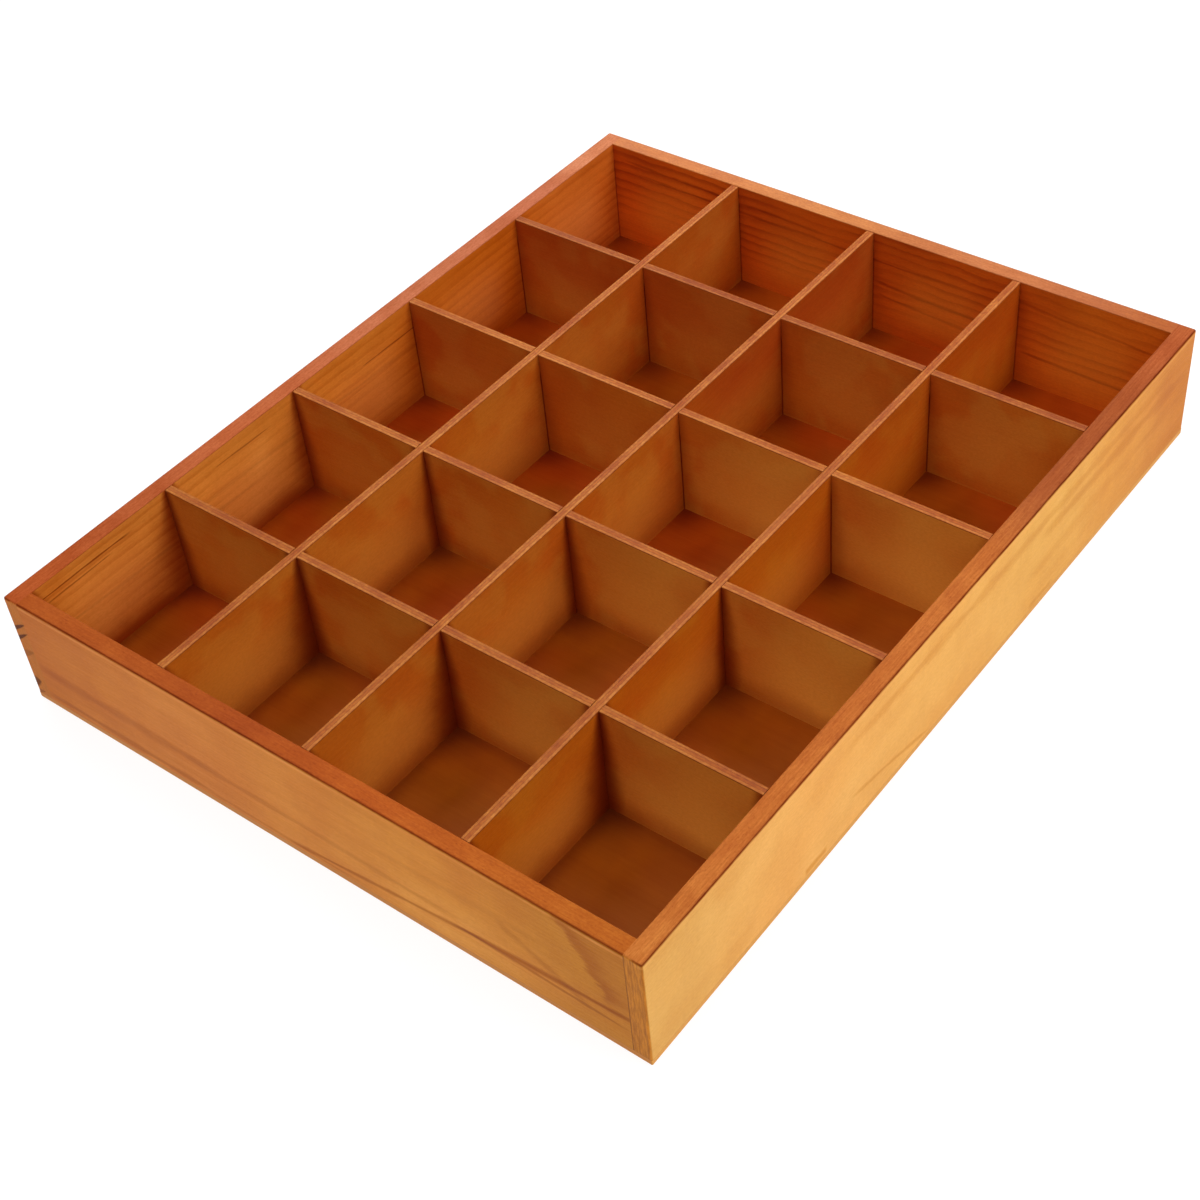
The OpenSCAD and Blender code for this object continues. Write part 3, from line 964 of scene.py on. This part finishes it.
def panel_finish():
    """The thin panel: dark stain on the compartment floors, with painted shade in their corners and
    along their walls, paler edge and underside.
    """
    material, r, shader = new_finish("stained_panel")
    place = r.object_place()
    x, y, z = r.parts(place)
    patches = stain_clouds(r, place, 70, 51.0)
    inside = r.mix(patches, (0.48, 0.062, 0.001), (0.43, 0.092, 0.002))
    near_right = r.rise(r.less(r.times(x, 0.8), y), -0.1, 0.22)
    inside = r.mix(r.times(near_right, 0.8), inside, (0.37, 0.1, 0.002))
    inside = r.mix(r.rise(y, 70 * MM, 150 * MM, 0.0, 0.5), inside, (0.6, 0.1, 0.003))
    cloud = stain_clouds(r, place, 24, 54.0)
    inside = r.shade(inside, cloud, panel_tones["cloud"], 0.6)
    grain = fine_marks(r, fibres, place, 60, 2.2, 52.0)
    short = fine_marks(r, fibres, place, 6, 0.5, 53.0)
    # Painted shade in the corners of every compartment floor, and along its walls toward the front
    off_x = r.less(r.maths("PINGPONG", x, cell_pitch_x / 2), divider_t / 2)
    half_cell = cell_pitch_y / 2
    off_y = r.less(r.maths("PINGPONG", r.less(y, half_cell), half_cell), divider_t / 2)
    floor_corner_shade = r.times(r.fall(off_x, 0.0, 22 * MM), r.fall(off_y, 0.0, 22 * MM))
    inside = r.shade(inside, floor_corner_shade, panel_tones["corner"])
    wall_foot_shade = r.larger(r.fall(off_x, 0.0, 8 * MM), r.fall(off_y, 0.0, 8 * MM))
    inside = r.shade(inside, r.times(wall_foot_shade, r.fall(y, -150 * MM, 0.0)), panel_tones["wall_foot_shade"])

    under = r.mix(patches, (0.6, 0.26, 0.07), (0.52, 0.2, 0.05))
    under_rings = r.use(growth_rings, Place=place, Pith_depth=0.4, Pith_height=-0.12,
                        Ring_width=14 * MM, Wander=60 * MM, Late_part=0.6, Seed=57.0)
    under = r.shade(under, under_rings, panel_tones["under_rings"], 0.5)
    on_floor = r.rise(z, panel_top - 0.4 * MM, panel_top - 0.1 * MM)
    colour = r.mix(on_floor, under, inside)

    # Edge of the panel, seen as a thin band round the foot
    at_side = r.rise(r.absolute(x), half_w - 0.5 * MM, half_w - 0.2 * MM)
    at_end = r.rise(r.absolute(y), half_l - 0.5 * MM, half_l - 0.2 * MM)
    at_edge = r.larger(at_side, at_end)
    layer = r.fall(r.absolute(r.less(z, panel_top / 2)), 0.4 * MM, 0.6 * MM)
    on_right = r.rise(x, half_w - 0.5 * MM, half_w - 0.2 * MM)
    edge = r.mix(on_right, (0.66, 0.25, 0.03), (0.8, 0.37, 0.06))
    edge = r.shade(edge, layer, panel_tones["middle_ply"], 0.3)
    seam = r.rise(z, panel_top - 0.5 * MM, panel_top - 0.15 * MM)
    edge = r.shade(edge, seam, panel_tones["seam"], 0.5)
    colour = r.mix(at_edge, colour, edge)
    colour = r.shade(colour, grain, panel_tones["grain"], 0.3)
    colour = r.shade(colour, short, panel_tones["short_fibres"], 0.3)

    relief = r.add(r.times(grain, 0.5), r.times(short, 0.5))
    finish_surface(r, shader, colour, r.add(0.5, r.times(grain, 0.08)), relief, 0.05 * MM)
    return material


# Steel pins

def steel_finish():
    """Drawn wire with faint lengthwise marks and a little tarnish."""
    material, r, shader = new_finish("steel_pins")
    shader.inputs["Metallic"].default_value = 1.0
    place = r.object_place()
    tarnish = stain_clouds(r, place, 1.5, 61.0)
    marks = fine_marks(r, fibres, place, 2, 0.15, 62.0)
    colour = r.mix(r.times(tarnish, 0.6), (0.52, 0.5, 0.48), (0.3, 0.27, 0.24))
    finish_surface(r, shader, colour, r.add(0.3, r.times(tarnish, 0.25)), marks, 0.01 * MM)
    return material


# Studio

def add_camera():
    """The camera at the photograph's place, solved from the tray's straight edges."""
    azimuth, elevation, roll = (math.radians(a) for a in (41.741, 43.796, -6.246))
    distance = 862.65 * MM
    target = Vector((3.69, -27.36, 0)) * MM
    focal_px, frame_px = 2032.3, 1200
    forward = Vector((-math.sin(azimuth) * math.cos(elevation),
                      math.cos(azimuth) * math.cos(elevation),
                      -math.sin(elevation)))
    right = Vector((math.cos(azimuth), math.sin(azimuth), 0))
    up = right.cross(forward)
    turned_right = math.cos(roll) * right + math.sin(roll) * up
    turned_up = -math.sin(roll) * right + math.cos(roll) * up
    data = bpy.data.cameras.new("photo_camera")
    data.sensor_fit = "HORIZONTAL"
    data.sensor_width = 36
    data.lens = focal_px / frame_px * data.sensor_width
    data.clip_start = 0.01
    data.clip_end = 100
    camera = bpy.data.objects.new("photo_camera", data)
    bpy.context.scene.collection.objects.link(camera)
    axes = Matrix((turned_right, turned_up, -forward)).transposed()
    camera.matrix_world = Matrix.Translation(target - distance * forward) @ axes.to_4x4()
    bpy.context.scene.camera = camera


def softbox(name, place, size, power):
    """A square soft light that faces the tray."""
    data = bpy.data.lights.new(name, "AREA")
    data.shape = "SQUARE"
    data.size = size
    data.energy = power
    light = bpy.data.objects.new(name, data)
    light.location = place
    towards = Vector((0, 0, 20 * MM)) - Vector(place)
    light.rotation_euler = towards.to_track_quat("-Z", "Y").to_euler()
    bpy.context.scene.collection.objects.link(light)


def add_lights():
    softbox("softbox_back", (0.1, 0.75, 1.0), 0.6, 6.9)
    softbox("softbox_left", (-0.7, 0.0, 1.0), 0.6, 4.4)
    softbox("softbox_front", (0.0, -0.7, 1.0), 0.6, 5.0)
    softbox("softbox_right", (1.3, 0.1, 0.8), 0.8, 9.3)
    softbox("softbox_right_high", (0.9, 0.3, 1.2), 0.6, 1.8)
    softbox("softbox_camera_side", (0.9, -1.0, 1.0), 0.8, 1.9)
    # Seen by the rim as a soft sheen over the far left corner
    softbox("sheen_light", (-0.95, 1.05, 1.0), 0.5, 5.5)
    world = bpy.data.worlds.new("studio_world")
    bpy.context.scene.world = world
    world.use_nodes = True
    background = world.node_tree.nodes["Background"]
    background.inputs["Color"].default_value = (1, 1, 1, 1)
    background.inputs["Strength"].default_value = 0.01


def add_floor():
    """A plain pale floor with a little light of its own, just under the tray."""
    size, drop = 60, 0.3 * MM
    grey, glow = 0.21, 0.86
    bpy.ops.object.select_all(action="DESELECT")
    bpy.ops.mesh.primitive_plane_add(size=size, location=(0, 0, -drop))
    floor = bpy.context.active_object
    floor.name = "studio_floor"
    material, _, shader = new_finish("studio_white")
    shader.inputs["Base Color"].default_value = (grey, grey, grey, 1)
    shader.inputs["Roughness"].default_value = 0.9
    shader.inputs["Emission Color"].default_value = (1, 1, 1, 1)
    shader.inputs["Emission Strength"].default_value = glow
    floor.data.materials.append(material)


# Making the tray

left = frame_board("left_board", 1, True)
front = frame_board("front_board", 0, False)
right = copy_piece(left, half_turn=True)
back = copy_piece(front, half_turn=True)
for piece, node, board in ((left, "left_board", left_pine), (right, "right_board", right_pine),
                           (front, "front_board", front_pine), (back, "back_board", back_pine)):
    fit_piece(piece, node, pine_finish(board))
fit_piece(bottom_panel(), "bottom_panel", panel_finish())
long_strip = divider(long_dividers[0], 1, cross_dividers, False)
cross_strip = divider(cross_dividers[0], 0, long_dividers, True)
long_ply = plywood_finish("stained_plywood_long", True, 71.0,
                          (0.58, 0.15, 0.008), (0.56, 0.11, 0.005), (0.62, 0.21, 0.02),
                          (0.8, 0.3, 0.04))
cross_ply = plywood_finish("stained_plywood_cross", False, 83.0,
                           (0.62, 0.17, 0.012), (0.57, 0.125, 0.007), (0.66, 0.25, 0.03),
                           (0.88, 0.4, 0.06))
divider_row(long_dividers, long_strip, long_ply)
divider_row(cross_dividers, cross_strip, cross_ply)
steel = steel_finish()
for node in ("corner_pins", "panel_pins"):
    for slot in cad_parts[node].material_slots:
        slot.material = steel

add_floor()
add_lights()
add_camera()
bpy.context.scene.view_settings.view_transform = "Standard"
